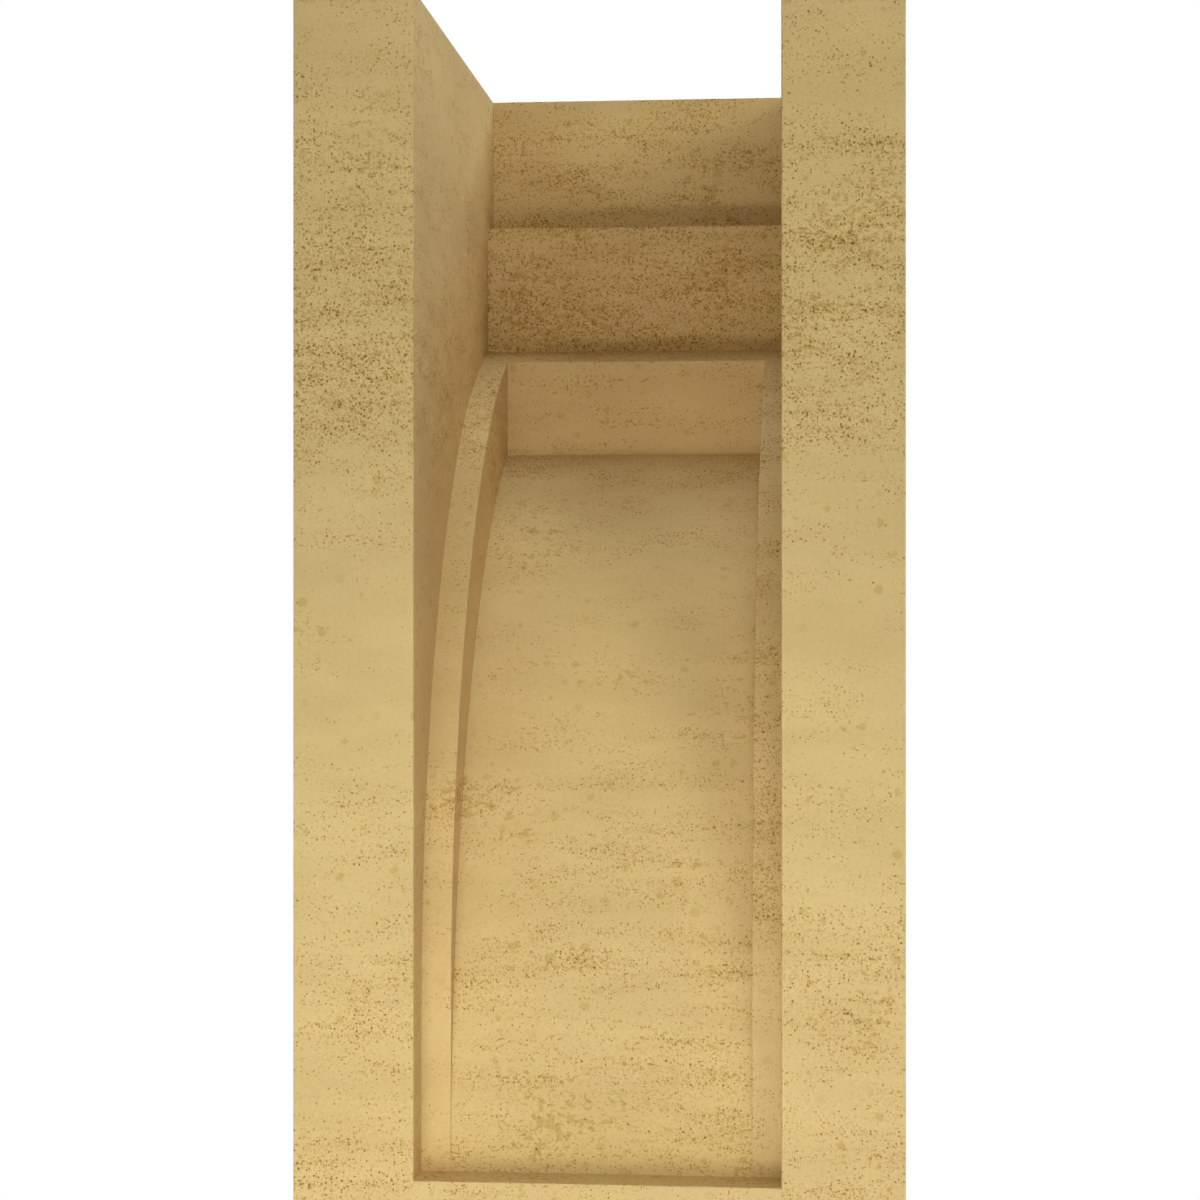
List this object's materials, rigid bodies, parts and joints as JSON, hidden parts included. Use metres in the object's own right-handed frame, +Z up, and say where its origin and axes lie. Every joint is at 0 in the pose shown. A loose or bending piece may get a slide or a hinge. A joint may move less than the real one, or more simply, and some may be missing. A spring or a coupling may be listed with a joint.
{
  "type": "corbel",
  "caption": "Hollow-backed cast stone corbel: a stepped crown over a concave cove with a raised centre tongue, fixed to a wall to carry a shelf, beam or hood.",
  "frame": {"origin": "on the flat wall face, at the middle of the band that closes the hollow at the foot", "axes": "+Y out of the wall face towards the wall, so the corbel projects along -Y; +Z up; the part is mirror-symmetric across X = 0"},
  "size_m": [0.254, 0.2667, 0.5079],
  "materials": {
    "cast_stone": "matt honed buff limestone cast, with small dark pits in level beds"
  },
  "bodies": {
    "root": {"corbel": "cast_stone"}
  },
  "joints": []
}
